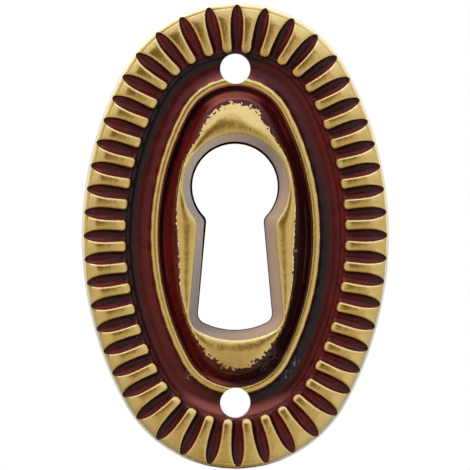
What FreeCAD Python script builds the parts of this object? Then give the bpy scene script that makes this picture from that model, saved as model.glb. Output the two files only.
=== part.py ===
import FreeCAD, Part

import math
import os

import Sketcher

# A cast keyhole escutcheon, upright as it is fixed to a door or drawer front.
# Millimetres. X runs across, Z runs up, and the front faces -Y.
# The back lies in the plane Y = 0, and the origin is midway between the two screw holes.
#
# Two families of four-centre ovals lay the plate out. Each oval has an arc at the top and
# bottom and a flatter arc at each side, and the ovals of one family share their centres.
# The outline family carries the border and its flutes.
# The ring family carries the ribs' inner ends, the channel, the thin ring and the boss.

Vector = FreeCAD.Vector

NODE_NAME = "escutcheon_plate"

# Each row is a cell's name, its value in millimetres or degrees, and what it measures.
DRIVING_SIZES = [
    ("plate_width", 30.0, "overall width of the plate"),
    ("plate_height", 45.5, "overall height of the plate"),
    ("plate_end_radius", 12.35, "radius of the outline's top and bottom arcs"),
    ("plate_floor", 1.1, "thickness of the sunk field inside the border"),
    ("crest_height", 2.75, "height of the border's crest above the back"),
    ("crest_inset", 2.1, "distance of the crest's middle from the outline"),
    ("crest_flat", 1.4, "width of the flat along the border's crest"),
    ("inner_slope", 12.0, "fall of the border towards the channel"),
    ("wall_height", 2.0, "height of the plate's side wall"),
    ("rib_end_height", 2.05, "height where the ribs' inner ends begin to slope back"),
    ("rib_end_slope", 45.0, "slope of the ribs' inner ends"),
    ("ring_width_across", 15.74, "width of the thin ring, along its top"),
    ("ring_height_along", 30.2, "height of the thin ring, along its top"),
    ("ring_end_radius", 5.45, "radius of the ring's top and bottom arcs"),
    ("ring_band", 0.8, "width of the thin ring's own band"),
    ("ring_crown", 0.3, "rise of the ring's top above its feet"),
    ("ring_crown_width", 0.3, "width of the flat along the ring's top"),
    ("ring_foot", 1.7, "height of the ring's feet above the back"),
    ("channel_width", 2.44, "width of the channel between the ring and the ribs"),
    ("channel_floor", 1.3, "height of the channel's lowest line above the back"),
    ("channel_flat", 0.9, "width of the flat along the channel's floor"),
    ("boss_height", 4.0, "height of the keyhole's collar, the whole depth of the plate"),
    ("boss_foot_inset", 1.2, "distance of the boss's foot from the ring's top"),
    ("boss_mound_height", 3.1, "height of the boss's flat top, round the collar"),
    ("boss_draft", 22.0, "slope of the boss's sides, away from square to the back"),
    ("boss_shoulder", 0.25, "bevel between the boss's sides and its top"),
    ("collar_land", 0.15, "width of the collar's front face round the keyhole"),
    ("collar_draft", 23.0, "slope of the collar's outside, away from square to the back"),
    ("keyhole_head_radius", 4.2, "clear radius of the keyhole's round head"),
    ("keyhole_head_rise", 4.8, "height of the head's centre above the origin"),
    ("keyhole_slot_width", 6.1, "clear width of the slot, level with the origin"),
    ("keyhole_flare", 4.8, "slope of the slot's sides, wider towards its foot"),
    ("keyhole_bottom_drop", 9.2, "depth of the slot's lowest point below the origin"),
    ("keyhole_bottom_radius", 7.0, "radius of the slot's lower edge"),
    ("keyhole_corner_radius", 0.8, "rounding of the slot's lower corners"),
    ("keyhole_draft", 13.0, "slope of the keyhole's wall, wider at the front"),
    ("flute_radius", 0.68, "radius of the cutter that makes a flute"),
    ("flute_axis_height", 2.85, "height of the cutter's axis above the back"),
    ("flute_overrun", 0.5, "how far outside the outline a cutter starts"),
    ("flute_reach", 5.6, "how far inside the outline a cutter ends, above the channel"),
    ("end_flute_count", 9, "flutes round each end arc"),
    ("end_flute_step", 13.38, "turn from one flute to the next round an end arc"),
    ("side_flute_count", 15, "flutes along each side arc"),
    ("side_flute_step", 3.87, "turn from one flute to the next along a side arc"),
    ("screw_pitch", 32.6, "distance between the two screw holes"),
    ("screw_hole_diameter", 3.0, "diameter of each screw hole"),
    ("trough_inset", 2.75, "distance of the back trough's middle from the outline"),
    ("trough_width", 2.5, "width of the trough under the border, at the back"),
    ("trough_depth", 1.05, "depth of the trough under the border"),
    ("trough_draft", 25.0, "slope of the trough's sides"),
    ("overlap", 0.3, "how far one form runs into the next before they become one"),
]

# Sizes that follow from the driving ones. Names here are used by the sketches' expressions.
# A four-centre oval's side radius comes from its width, its height and its end radius.
LAYOUT_SIZES = [
    ("half_width", "=Sizes.plate_width / 2"),
    ("half_height", "=Sizes.plate_height / 2"),
    ("end_centre", "=half_height - Sizes.plate_end_radius"),
    (
        "side_radius",
        "=(half_width^2 + half_height^2 - 2 * half_height * Sizes.plate_end_radius)"
        " / (2 * (half_width - Sizes.plate_end_radius))",
    ),
    ("side_centre", "=side_radius - half_width"),
    ("side_span", "=2 * atan(end_centre / side_centre)"),
    ("end_span", "=180 deg - side_span"),
    ("ring_half_width", "=Sizes.ring_width_across / 2"),
    ("ring_half_height", "=Sizes.ring_height_along / 2"),
    ("ring_end_centre", "=ring_half_height - Sizes.ring_end_radius"),
    (
        "ring_side_radius",
        "=(ring_half_width^2 + ring_half_height^2 - 2 * ring_half_height * Sizes.ring_end_radius)"
        " / (2 * (ring_half_width - Sizes.ring_end_radius))",
    ),
    ("ring_side_centre", "=ring_side_radius - ring_half_width"),
    ("ring_side_span", "=2 * atan(ring_end_centre / ring_side_centre)"),
    ("ring_end_span", "=180 deg - ring_side_span"),
    ("border_reach", "=half_width - ring_half_width - Sizes.ring_band"),
    ("rib_end_offset", "=Sizes.ring_band / 2 + Sizes.channel_width"),
    ("mound_rise", "=Sizes.boss_mound_height - Sizes.plate_floor"),
    (
        "mound_top_inset",
        "=Sizes.boss_foot_inset + mound_rise * tan(Sizes.boss_draft * 1 deg)"
        " + Sizes.boss_shoulder",
    ),
    (
        "collar_spread",
        "=Sizes.collar_land + Sizes.boss_height"
        " * (tan(Sizes.keyhole_draft * 1 deg) + tan(Sizes.collar_draft * 1 deg))",
    ),
]


class Family:
    """One family of four-centre ovals: where its centres are and how far its arcs reach."""

    def __init__(self, end_centre, side_centre, end_radius, side_radius, end_span, side_span):
        self.end_centre = end_centre
        self.side_centre = side_centre
        self.end_radius = end_radius
        self.side_radius = side_radius
        self.end_span = end_span
        self.side_span = side_span


OUTLINE = Family(
    "Layout.end_centre",
    "Layout.side_centre",
    "Sizes.plate_end_radius",
    "Layout.side_radius",
    "Layout.end_span",
    "Layout.side_span",
)
RING = Family(
    "Layout.ring_end_centre",
    "Layout.ring_side_centre",
    "Sizes.ring_end_radius",
    "Layout.ring_side_radius",
    "Layout.ring_end_span",
    "Layout.ring_side_span",
)


def make_sheet(doc, name, rows):
    """Make a sheet whose first column holds names, and whose second holds their cells."""
    sheet = doc.addObject("Spreadsheet::Sheet", name)
    for number, row in enumerate(rows, start=1):
        alias, content = row[0], row[1]
        sheet.set("A%d" % number, alias)
        sheet.set("B%d" % number, str(content))
        sheet.setAlias("B%d" % number, alias)
        if len(row) > 2:
            sheet.set("C%d" % number, row[2])
    doc.recompute()
    return sheet


def plain(value):
    """A cell's value as a plain number."""
    return float(getattr(value, "Value", value))


doc = FreeCAD.newDocument("KeyholeEscutcheon")
sizes = make_sheet(doc, "Sizes", DRIVING_SIZES)
layout = make_sheet(doc, "Layout", LAYOUT_SIZES)


def value_of(expression):
    """What an expression over the two sheets comes to now, for a sketch's first guess."""
    return plain(layout.evalExpression(expression))


body = doc.addObject("PartDesign::Body", "Plate")
body.Label = NODE_NAME


def origin_plane(role):
    """One of the body's own planes, such as XZ_Plane."""
    return next(plane for plane in body.Origin.OriginFeatures if plane.Role == role)


def new_sketch(name, role, turn=None, offsets=None):
    """Make a sketch on one of the body's planes, turned and moved by expressions."""
    sketch = body.newObject("Sketcher::SketchObject", name)
    sketch.AttachmentSupport = [(origin_plane(role), "")]
    sketch.MapMode = "FlatFace"
    if turn:
        sketch.AttachmentOffset = FreeCAD.Placement(Vector(0, 0, 0), turn)
    for axis, expression in (offsets or {}).items():
        sketch.setExpression("AttachmentOffset.Base." + axis, expression)
    return sketch


def bind(sketch, name, expression, constraint):
    """Add a dimension to a sketch and tie it to an expression."""
    index = sketch.addConstraint(constraint)
    sketch.renameConstraint(index, name)
    sketch.setExpression("Constraints." + name, expression)


def arc(centre_x, centre_y, radius, start, end):
    """An arc that runs anticlockwise from one angle to the other, in radians."""
    circle = Part.Circle(Vector(centre_x, centre_y, 0), Vector(0, 0, 1), radius)
    return Part.ArcOfCircle(circle, start, end)


def line(start, end):
    """A straight line between two points of a sketch."""
    return Part.LineSegment(Vector(start[0], start[1], 0), Vector(end[0], end[1], 0))


def join_loop(sketch, count, kind="Coincident"):
    """Join each curve's end to the next one's start, all the way round."""
    for index in range(count):
        sketch.addConstraint(Sketcher.Constraint(kind, index, 2, (index + 1) % count, 1))


def draw_oval(sketch, family, outward):
    """Draw the family's oval that lies the given distance outside its own line."""
    end_radius = "%s + %s" % (family.end_radius, outward)
    end_centre = value_of(family.end_centre)
    side_centre = value_of(family.side_centre)
    small = value_of(end_radius)
    large = value_of("%s + %s" % (family.side_radius, outward))
    lean = math.atan2(end_centre, side_centre)
    sketch.addGeometry(arc(0, end_centre, small, lean, math.pi - lean))
    sketch.addGeometry(arc(side_centre, 0, large, math.pi - lean, math.pi + lean))
    sketch.addGeometry(arc(0, -end_centre, small, math.pi + lean, 2 * math.pi - lean))
    sketch.addGeometry(arc(-side_centre, 0, large, -lean, lean))
    join_loop(sketch, 4, "Tangent")
    for index, axis in ((0, -2), (2, -2), (1, -1)):
        sketch.addConstraint(Sketcher.Constraint("PointOnObject", index, 3, axis))
    bind(sketch, "top_radius", end_radius, Sketcher.Constraint("Radius", 0, small))
    bind(sketch, "top_centre", family.end_centre,
         Sketcher.Constraint("DistanceY", -1, 1, 0, 3, end_centre))
    bind(sketch, "bottom_centre", family.end_centre,
         Sketcher.Constraint("DistanceY", 2, 3, -1, 1, end_centre))
    bind(sketch, "left_arc_centre", family.side_centre,
         Sketcher.Constraint("DistanceX", -1, 1, 1, 3, side_centre))
    bind(sketch, "right_arc_centre", family.side_centre,
         Sketcher.Constraint("DistanceX", 3, 3, -1, 1, side_centre))


def place_point(sketch, geometry, position, name, across=None, up=None):
    """Tie a point of a sketch to its distance across and up from the sketch's origin."""
    if across is not None:
        bind(sketch, name + "_across", across,
             Sketcher.Constraint("DistanceX", -1, 1, geometry, position, value_of(across)))
    if up is not None:
        bind(sketch, name + "_up", up,
             Sketcher.Constraint("DistanceY", -1, 1, geometry, position, value_of(up)))


def sector_sketches(name, family):
    """Make the two sketches that a family's mouldings are turned from.

    In both, the distance across is the radius from the arc's centre, and up is the height
    above the back. The first is for the upper end arc and the second for the right side arc.
    """
    end_turn = FreeCAD.Rotation(Vector(0, 0, 1), 90)
    side_turn = FreeCAD.Rotation(Vector(1, 0, 0), 180)
    end = new_sketch(name + "EndProfile", "YZ_Plane", end_turn, {"y": family.end_centre})
    side = new_sketch(name + "SideProfile", "XY_Plane", side_turn,
                      {"x": "-" + family.side_centre})
    return (
        (end, family.end_radius, family.end_span, "XY_Plane"),
        (side, family.side_radius, family.side_span, "YZ_Plane"),
    )


def mirror(feature, role):
    """Repeat a feature on the other side of one of the body's planes."""
    mirrored = body.newObject("PartDesign::Mirrored", feature.Name + "Mirror")
    mirrored.Originals = [feature]
    mirrored.MirrorPlane = (origin_plane(role), [""])
    body.Tip = mirrored
    doc.recompute()
    return mirrored


def turn_moulding(name, kind, family, draw):
    """Turn one profile round all four arcs of a family, as a Revolution or a Groove."""
    for sketch, radius, span, role in sector_sketches(name, family):
        draw(sketch, radius)
        doc.recompute()
        turned = body.newObject("PartDesign::" + kind, sketch.Name.replace("Profile", ""))
        turned.Profile = sketch
        turned.ReferenceAxis = (sketch, ["V_Axis"])
        turned.Midplane = True
        turned.setExpression("Angle", span)
        body.Tip = turned
        doc.recompute()
        mirror(turned, role)


def draw_loop(sketch, corners):
    """Draw a closed outline of straight lines through corners given as pairs of expressions."""
    places = [(value_of(across), value_of(up)) for across, up in corners]
    count = len(places)
    for index in range(count):
        sketch.addGeometry(line(places[index], places[(index + 1) % count]))
    for index in range(count):
        sketch.addConstraint(Sketcher.Constraint("Coincident", index, 2, (index + 1) % count, 1))
    for index, (across, up) in enumerate(corners):
        place_point(sketch, index, 1, "corner%d" % index, across, up)


def draw_border(sketch, radius):
    """The border's section: side wall, outer fall, flat crest and inner fall."""
    inside = radius + " - Layout.border_reach"
    middle = radius + " - Sizes.crest_inset"
    run = "(Layout.border_reach - Sizes.crest_inset - Sizes.crest_flat / 2)"
    draw_loop(sketch, [
        (inside, "0"),
        (radius, "0"),
        (radius, "Sizes.wall_height"),
        (middle + " + Sizes.crest_flat / 2", "Sizes.crest_height"),
        (middle + " - Sizes.crest_flat / 2", "Sizes.crest_height"),
        (inside, "Sizes.crest_height - %s * tan(Sizes.inner_slope * 1 deg)" % run),
    ])


def draw_field(sketch, radius):
    """What is cut away inside the border, whose ribs slope back above their inner ends."""
    wall = radius + " + Layout.rib_end_offset"
    above = "Sizes.crest_height + Sizes.overlap"
    set_back = "(%s - Sizes.rib_end_height) / tan(Sizes.rib_end_slope * 1 deg)" % above
    draw_loop(sketch, [
        (radius, "Sizes.plate_floor"),
        (wall, "Sizes.plate_floor"),
        (wall, "Sizes.rib_end_height"),
        ("%s + %s" % (wall, set_back), above),
        (radius, above),
    ])


def draw_ring(sketch, radius):
    """The section inside the border: channel, ring, hollow, and the side of the boss."""
    band = "Sizes.ring_band / 2"
    flat = "Sizes.ring_crown_width / 2"
    crown = "Sizes.ring_foot + Sizes.ring_crown"
    outer = radius + " + Layout.rib_end_offset"
    foot = "%s - Sizes.boss_foot_inset" % radius
    shoulder = "%s - Layout.mound_top_inset" % radius
    base = "Sizes.plate_floor - Sizes.overlap"
    middle = "%s + (Sizes.ring_band + Sizes.channel_width) / 2" % radius
    draw_loop(sketch, [
        (shoulder + " - Sizes.overlap", base),
        (outer + " + Sizes.overlap", base),
        (outer + " + Sizes.overlap", "Sizes.ring_foot"),
        (outer, "Sizes.ring_foot"),
        (middle + " + Sizes.channel_flat / 2", "Sizes.channel_floor"),
        (middle + " - Sizes.channel_flat / 2", "Sizes.channel_floor"),
        ("%s + %s" % (radius, band), "Sizes.ring_foot"),
        ("%s + %s" % (radius, flat), crown),
        ("%s - %s" % (radius, flat), crown),
        ("%s - %s" % (radius, band), "Sizes.ring_foot"),
        (foot, "Sizes.plate_floor"),
        (shoulder + " + Sizes.boss_shoulder", "Sizes.boss_mound_height - Sizes.boss_shoulder"),
        (shoulder, "Sizes.boss_mound_height"),
        (shoulder + " - Sizes.overlap", "Sizes.boss_mound_height"),
    ])


def draw_trough(sketch, radius):
    """The section of the trough in the back, under the border."""
    middle = "%s - Sizes.trough_inset" % radius
    half = "Sizes.trough_width / 2"
    roof = "(%s - Sizes.trough_depth * tan(Sizes.trough_draft * 1 deg))" % half
    draw_loop(sketch, [
        ("%s - %s" % (middle, half), "0"),
        ("%s + %s" % (middle, half), "0"),
        ("%s + %s" % (middle, roof), "Sizes.trough_depth"),
        ("%s - %s" % (middle, roof), "Sizes.trough_depth"),
    ])


def draw_head(sketch, grown):
    """The keyhole's round head, or the circle that lies the given distance outside it."""
    radius = "Sizes.keyhole_head_radius + " + grown
    sketch.addGeometry(
        Part.Circle(Vector(0, value_of("Sizes.keyhole_head_rise"), 0), Vector(0, 0, 1),
                    value_of(radius)))
    sketch.addConstraint(Sketcher.Constraint("PointOnObject", 0, 3, -2))
    place_point(sketch, 0, 3, "centre", None, "Sizes.keyhole_head_rise")
    bind(sketch, "head_radius", radius, Sketcher.Constraint("Radius", 0, value_of(radius)))


def draw_slot(sketch, grown):
    """The keyhole's slot, or the outline that lies the given distance outside it.

    It starts level with the head's centre. Its sides flare, its lower corners are rounded
    and its foot is curved.
    """
    half_slot = "Sizes.keyhole_slot_width / 2 * cos(Sizes.keyhole_flare * 1 deg) + " + grown
    corner_radius = "Sizes.keyhole_corner_radius + " + grown
    foot_radius = "Sizes.keyhole_bottom_radius + " + grown
    side = value_of(half_slot)
    corner = value_of(corner_radius)
    foot = value_of(foot_radius)
    rise = value_of("Sizes.keyhole_head_rise")
    sink = value_of("Sizes.keyhole_bottom_drop - Sizes.keyhole_bottom_radius")
    flare = math.radians(value_of("Sizes.keyhole_flare"))

    # A point on the slot's right side is its nearest point to the origin, plus a run downwards.
    outward = (math.cos(flare), math.sin(flare))
    down = (math.sin(flare), -math.cos(flare))
    top = ((side - rise * outward[1]) / outward[0], rise)
    inner_side = side - corner
    across_foot = inner_side + sink * outward[1]
    foot_run = sink * -down[1] + math.sqrt((foot - corner) ** 2 - across_foot ** 2)
    centre = (inner_side * outward[0] + foot_run * down[0],
              inner_side * outward[1] + foot_run * down[1])
    corner_top = (centre[0] + corner * outward[0], centre[1] + corner * outward[1])
    toe = math.atan2(centre[1] + sink, centre[0])

    sketch.addGeometry(line(top, (-top[0], top[1])))
    sketch.addGeometry(line((-top[0], top[1]), (-corner_top[0], corner_top[1])))
    sketch.addGeometry(arc(-centre[0], centre[1], corner, math.pi - flare, math.pi - toe))
    sketch.addGeometry(arc(0, -sink, foot, math.pi - toe, 2 * math.pi + toe))
    sketch.addGeometry(arc(centre[0], centre[1], corner, toe, flare))
    sketch.addGeometry(line(corner_top, top))
    for index, kind in enumerate(("Coincident", "Tangent", "Tangent", "Tangent", "Tangent",
                                  "Coincident")):
        sketch.addConstraint(Sketcher.Constraint(kind, index, 2, (index + 1) % 6, 1))
    sketch.addConstraint(Sketcher.Constraint("Horizontal", 0))
    sketch.addConstraint(Sketcher.Constraint("PointOnObject", 3, 3, -2))
    sketch.addConstraint(Sketcher.Constraint("Equal", 2, 4))
    place_point(sketch, 0, 1, "top", None, "Sizes.keyhole_head_rise")
    bind(sketch, "left_side", half_slot, Sketcher.Constraint("Distance", -1, 1, 1, side))
    bind(sketch, "right_side", half_slot, Sketcher.Constraint("Distance", -1, 1, 5, side))
    bind(sketch, "left_flare", "-90 deg - Sizes.keyhole_flare * 1 deg",
         Sketcher.Constraint("Angle", 1, -math.pi / 2 - flare))
    bind(sketch, "right_flare", "90 deg + Sizes.keyhole_flare * 1 deg",
         Sketcher.Constraint("Angle", 5, math.pi / 2 + flare))
    bind(sketch, "corner_radius", corner_radius, Sketcher.Constraint("Radius", 2, corner))
    bind(sketch, "bottom_radius", foot_radius, Sketcher.Constraint("Radius", 3, foot))
    bind(sketch, "bottom_centre", "Sizes.keyhole_bottom_drop - Sizes.keyhole_bottom_radius",
         Sketcher.Constraint("DistanceY", 3, 3, -1, 1, sink))


def add_feature(kind, name, **properties):
    """Add a feature to the body, set it up and make it the body's tip."""
    feature = body.newObject("PartDesign::" + kind, name)
    for key, value in properties.items():
        setattr(feature, key, value)
    body.Tip = feature
    return feature


def make_tapered(kind, name, grown, taper, **properties):
    """Make the keyhole's head and slot, with sloping sides, as a pair of Pads or Pockets."""
    for part, draw in (("Head", draw_head), ("Slot", draw_slot)):
        outline = new_sketch(name + part + "Outline", "XZ_Plane")
        draw(outline, grown)
        doc.recompute()
        feature = add_feature(kind, name + part, Profile=outline, **properties)
        feature.setExpression("Length", "Sizes.boss_height")
        feature.setExpression("TaperAngle", taper)
        doc.recompute()


def make_collar():
    """The collar round the keyhole, which narrows from the back to its front face."""
    make_tapered("Pad", "Collar", "Layout.collar_spread", "-Sizes.collar_draft * 1 deg")


def make_keyhole():
    """The keyhole, whose wall widens towards the front."""
    make_tapered("Pocket", "Keyhole", "0", "Sizes.keyhole_draft * 1 deg", Reversed=True)


def make_plate():
    """The floor, the border round it, the ring's mouldings and the mound in the middle."""
    blank = new_sketch("BlankOutline", "XZ_Plane")
    draw_oval(blank, OUTLINE, "-Layout.border_reach / 2")
    doc.recompute()
    pad = add_feature("Pad", "Blank", Profile=blank)
    pad.setExpression("Length", "Sizes.plate_floor")
    doc.recompute()
    turn_moulding("Border", "Revolution", OUTLINE, draw_border)
    turn_moulding("Field", "Groove", RING, draw_field)
    turn_moulding("Ring", "Revolution", RING, draw_ring)
    core = new_sketch("MoundOutline", "XZ_Plane")
    draw_oval(core, RING, "-Layout.mound_top_inset - Sizes.overlap / 2")
    doc.recompute()
    mound = add_feature("Pad", "Mound", Profile=core)
    mound.setExpression("Length", "Sizes.boss_mound_height")
    doc.recompute()
    turn_moulding("Trough", "Groove", OUTLINE, draw_trough)


def cut_flutes(name, family_axis, centre, direction, count, step, arc_radius):
    """Cut one flute at the end of a row, and repeat it about the arc's centre."""
    seed = new_sketch(name + "Cutter", "XZ_Plane", None,
                      {"z": "Sizes.flute_axis_height", family_axis: centre})
    seed.AttachmentOffset = FreeCAD.Placement(
        seed.AttachmentOffset.Base, FreeCAD.Rotation(Vector(0, 0, 1), value_of(direction)))
    seed.setExpression("AttachmentOffset.Rotation.Angle",
                       "%s - (%s - 1) / 2 * %s" % (direction, count, step))
    start = "%s - Sizes.flute_reach" % arc_radius
    end = "%s + Sizes.flute_overrun" % arc_radius
    draw_loop(seed, [("0", start), ("Sizes.flute_radius", start), ("Sizes.flute_radius", end),
                     ("0", end)])
    doc.recompute()
    groove = add_feature("Groove", name + "Flute", Profile=seed, ReferenceAxis=(seed, ["V_Axis"]))
    groove.Angle = 360
    doc.recompute()
    pattern = add_feature("PolarPattern", name + "Flutes", Originals=[groove],
                          Axis=(seed, ["N_Axis"]))
    pattern.setExpression("Occurrences", count)
    pattern.setExpression("Angle", "(%s - 1) * %s" % (count, step))
    doc.recompute()


def make_flutes():
    """The four rows of flutes, one to each arc of the outline."""
    upright = "90 deg"
    for name, axis, centre, direction in (
            ("Top", "y", "Layout.end_centre", "0 deg"),
            ("Bottom", "y", "-Layout.end_centre", "180 deg")):
        cut_flutes(name, axis, centre, direction, "Sizes.end_flute_count",
                   "Sizes.end_flute_step * 1 deg", "Sizes.plate_end_radius")
    for name, axis, centre, direction in (
            ("Right", "x", "-Layout.side_centre", "-" + upright),
            ("Left", "x", "Layout.side_centre", upright)):
        cut_flutes(name, axis, centre, direction, "Sizes.side_flute_count",
                   "Sizes.side_flute_step * 1 deg", "Layout.side_radius")


def make_screw_holes():
    """The two plain screw holes, which bite into the thin ring."""
    sketch = new_sketch("ScrewHoleCentres", "XZ_Plane")
    for index, side in enumerate((1, -1)):
        height = side * value_of("Sizes.screw_pitch") / 2
        radius = value_of("Sizes.screw_hole_diameter") / 2
        sketch.addGeometry(Part.Circle(Vector(0, height, 0), Vector(0, 0, 1), radius))
        sketch.addConstraint(Sketcher.Constraint("PointOnObject", index, 3, -2))
        bind(sketch, "diameter%d" % index, "Sizes.screw_hole_diameter",
             Sketcher.Constraint("Diameter", index, 2 * radius))
    place_point(sketch, 0, 3, "upper", None, "Sizes.screw_pitch / 2")
    place_point(sketch, 1, 3, "lower", None, "-Sizes.screw_pitch / 2")
    doc.recompute()
    add_feature("Pocket", "ScrewHoles", Profile=sketch, Type="ThroughAll", Reversed=True)
    doc.recompute()


def check_model():
    """Stop if any object failed, or if the plate isn't one sound solid."""
    for item in doc.Objects:
        if "Invalid" in item.State or "Error" in item.State:
            raise RuntimeError("%s did not compute: %s" % (item.Name, item.State))
        if item.TypeId == "Sketcher::SketchObject" and not item.FullyConstrained:
            raise RuntimeError("%s is not fully constrained" % item.Name)
    shape = body.Shape
    if shape.isNull() or not shape.isValid() or len(shape.Solids) != 1:
        raise RuntimeError("the plate is not one sound solid")


make_collar()
make_plate()
make_keyhole()
make_flutes()
make_screw_holes()
doc.recompute()
check_model()

os.makedirs("parts", exist_ok=True)
body.Shape.exportStep(os.path.join("parts", body.Label + ".step"))
print("%s: %.1f cubic mm, %d faces" % (body.Label, body.Shape.Volume, len(body.Shape.Faces)))
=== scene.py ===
"""Looks of the cast keyhole escutcheon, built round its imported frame.

Lengths are in millimetres until a mesh is written, which is in metres. X runs across, Z runs
up, and the front faces -Y. A height is a distance in front of the plate's back plane. A turn
is the direction of the outline's normal, in radians from +X towards +Z.
"""

import logging
import math
from dataclasses import dataclass, field
from functools import partial
from typing import Callable

import bpy
import numpy as np
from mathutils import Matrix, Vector


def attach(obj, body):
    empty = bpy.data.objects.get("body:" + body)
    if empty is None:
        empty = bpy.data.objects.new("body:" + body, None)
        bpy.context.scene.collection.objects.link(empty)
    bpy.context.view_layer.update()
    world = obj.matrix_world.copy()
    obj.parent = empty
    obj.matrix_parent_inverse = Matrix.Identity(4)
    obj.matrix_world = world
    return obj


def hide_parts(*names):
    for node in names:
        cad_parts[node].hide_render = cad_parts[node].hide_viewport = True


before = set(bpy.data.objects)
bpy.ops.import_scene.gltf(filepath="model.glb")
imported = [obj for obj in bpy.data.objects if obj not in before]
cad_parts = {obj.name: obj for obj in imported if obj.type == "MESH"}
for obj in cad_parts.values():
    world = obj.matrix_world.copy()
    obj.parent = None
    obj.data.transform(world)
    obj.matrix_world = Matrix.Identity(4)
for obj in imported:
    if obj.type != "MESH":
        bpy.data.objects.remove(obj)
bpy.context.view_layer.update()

LOG = logging.getLogger("escutcheon")

MM = 0.001
FULL_TURN = 2 * math.pi
NODE_NAME = "escutcheon_plate"
MATERIAL_NAME = "rubbed cast brass with red-brown patina"

MATH = "ShaderNodeMath"
VECTOR_MATH = "ShaderNodeVectorMath"
MAP_RANGE = "ShaderNodeMapRange"
MIX = "ShaderNodeMix"
NOISE = "ShaderNodeTexNoise"
# Settings of a node that eases in and out, and of one that mixes colours.
SOFT = {"interpolation_type": "SMOOTHSTEP"}
COLOURS = {"data_type": "RGBA"}

# What each vertex carries, with its value where a row says nothing: the marks that the
# finish reads, then the marks that the flute tree reads.
PLATE_MARKS = {
    "bare_mm": 1.0,
    "ragged_mm": 0.0,
    "wall": 0.0,
    "shade_line_mm": 0.0,
    "outer_mm": 9.0,
    "edge_share": 9.0,
    "channel": 0.0,
    "back": 0.0,
    "wall_reflection_share": 0.0,
    "flute_across": 9.0,
    "rib_inset": 9.0,
    "flute_depth": 0.0,
    "edge_drop": 0.0,
}

# Where a flute's columns lie, as shares of its half width. A column on a rib has ON_RIB.
COLUMN_SHARES = (0.42, 0.74, 0.92, 1.0)
ON_RIB = 2.0

# Where the rows lie, closest together where the form turns.
BORDER_INSETS = (
    0.0, 0.02, 0.06, 0.12, 0.18, 0.25, 0.33, 0.42, 0.48, 0.52, 0.57, 0.62, 0.66, 0.74, 0.9,
    1.06, 1.15, 1.22, 1.31, 1.38, 1.45, 1.54, 1.7, 2.0, 2.4, 2.8, 3.2, 3.6, 3.95)
RIB_END_STEPS = (0.6, 0.42, 0.28, 0.18, 0.11, 0.06, 0.025, 0.0)
RIB_FALL_STEPS = ((0.05, 0.5), (0.11, 0.2), (0.19, 0.06), (0.3, 0.0))
RING_SHARES = (1.0, 0.94, 0.87, 0.74, 0.52, 0.2, -0.2, -0.52, -0.74, -0.87, -0.94, -1.0)
HOLLOW_INSETS = (0.5, 0.58, 0.68, 0.8, 0.92, 1.04, 1.18)
RIM_STEPS = (0.24, 0.18, 0.13, 0.085, 0.05, 0.022, 0.006)
WALL_HEIGHTS = (3.2, 2.4, 1.6, 1.0, 0.5, 0.1, 0.04, 0.0)
BACK_SHARES = (0.85, 0.6, 0.3)
TROUGH_SIDE = ((-0.05, 0.0), (0.02, 0.0286), (0.42, 0.86), (0.55, 0.98), (0.75, 1.0))


def linear(code: str) -> tuple[float, float, float, float]:
    """Turn an sRGB hex colour into the linear colour that Blender's sockets take.

    Args:
        code: Six hex digits, red first.

    Returns:
        The linear red, green and blue, and an alpha of 1.
    """
    channels = [int(code[place:place + 2], 16) / 255 for place in (0, 2, 4)]
    values = [c / 12.92 if c <= 0.04045 else ((c + 0.055) / 1.055) ** 2.4 for c in channels]
    return values[0], values[1], values[2], 1.0


def curve_through(stations: np.ndarray, values: np.ndarray, at: np.ndarray) -> np.ndarray:
    """Read a smooth curve that passes through given points without overshooting them.

    Args:
        stations: Where the points stand, in rising order.
        values: The curve's value at each station.
        at: Where to read the curve.

    Returns:
        The curve's value at each place asked for.
    """
    step = np.diff(stations)
    slope = np.diff(values) / step
    tangent = np.zeros_like(values)
    same = slope[:-1] * slope[1:] > 0
    first, second = 2 * step[1:] + step[:-1], step[1:] + 2 * step[:-1]
    with np.errstate(divide="ignore", invalid="ignore"):
        blended = (first + second) / (first / slope[:-1] + second / slope[1:])
    tangent[1:-1] = np.where(same, blended, 0.0)
    tangent[0], tangent[-1] = slope[0], slope[-1]
    place = np.clip(np.searchsorted(stations, at) - 1, 0, len(step) - 1)
    t = np.clip((at - stations[place]) / step[place], 0, 1)
    run = step[place]
    return (
        (2 * t**3 - 3 * t**2 + 1) * values[place]
        + (t**3 - 2 * t**2 + t) * run * tangent[place]
        + (3 * t**2 - 2 * t**3) * values[place + 1]
        + (t**3 - t**2) * run * tangent[place + 1]
    )


def smooth_least(first: np.ndarray, second: np.ndarray, blend: float) -> np.ndarray:
    """The lesser of two values, with the crease between them rounded.

    Args:
        first: One value.
        second: The other value.
        blend: How wide the rounding is.

    Returns:
        The rounded lesser value.
    """
    share = np.clip(0.5 + 0.5 * (second - first) / blend, 0, 1)
    return second * (1 - share) + first * share - blend * share * (1 - share)


def ramp(value: np.ndarray, start: float, run: float) -> np.ndarray:
    """Rise from 0 at the start to 1 a run further on."""
    return np.clip((value - start) / run, 0, 1)


def rounding(depth: float, away: np.ndarray, reach: float) -> np.ndarray:
    """How far a quarter ellipse of a given depth and reach falls off towards its edge."""
    corner = np.clip(1 - away / reach, 0, 1)
    return depth * (1 - np.sqrt(1 - corner**2))


def add_object(name: str, data: bpy.types.ID) -> bpy.types.Object:
    """Add an object to the scene."""
    item = bpy.data.objects.new(name, data)
    bpy.context.scene.collection.objects.link(item)
    return item


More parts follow.
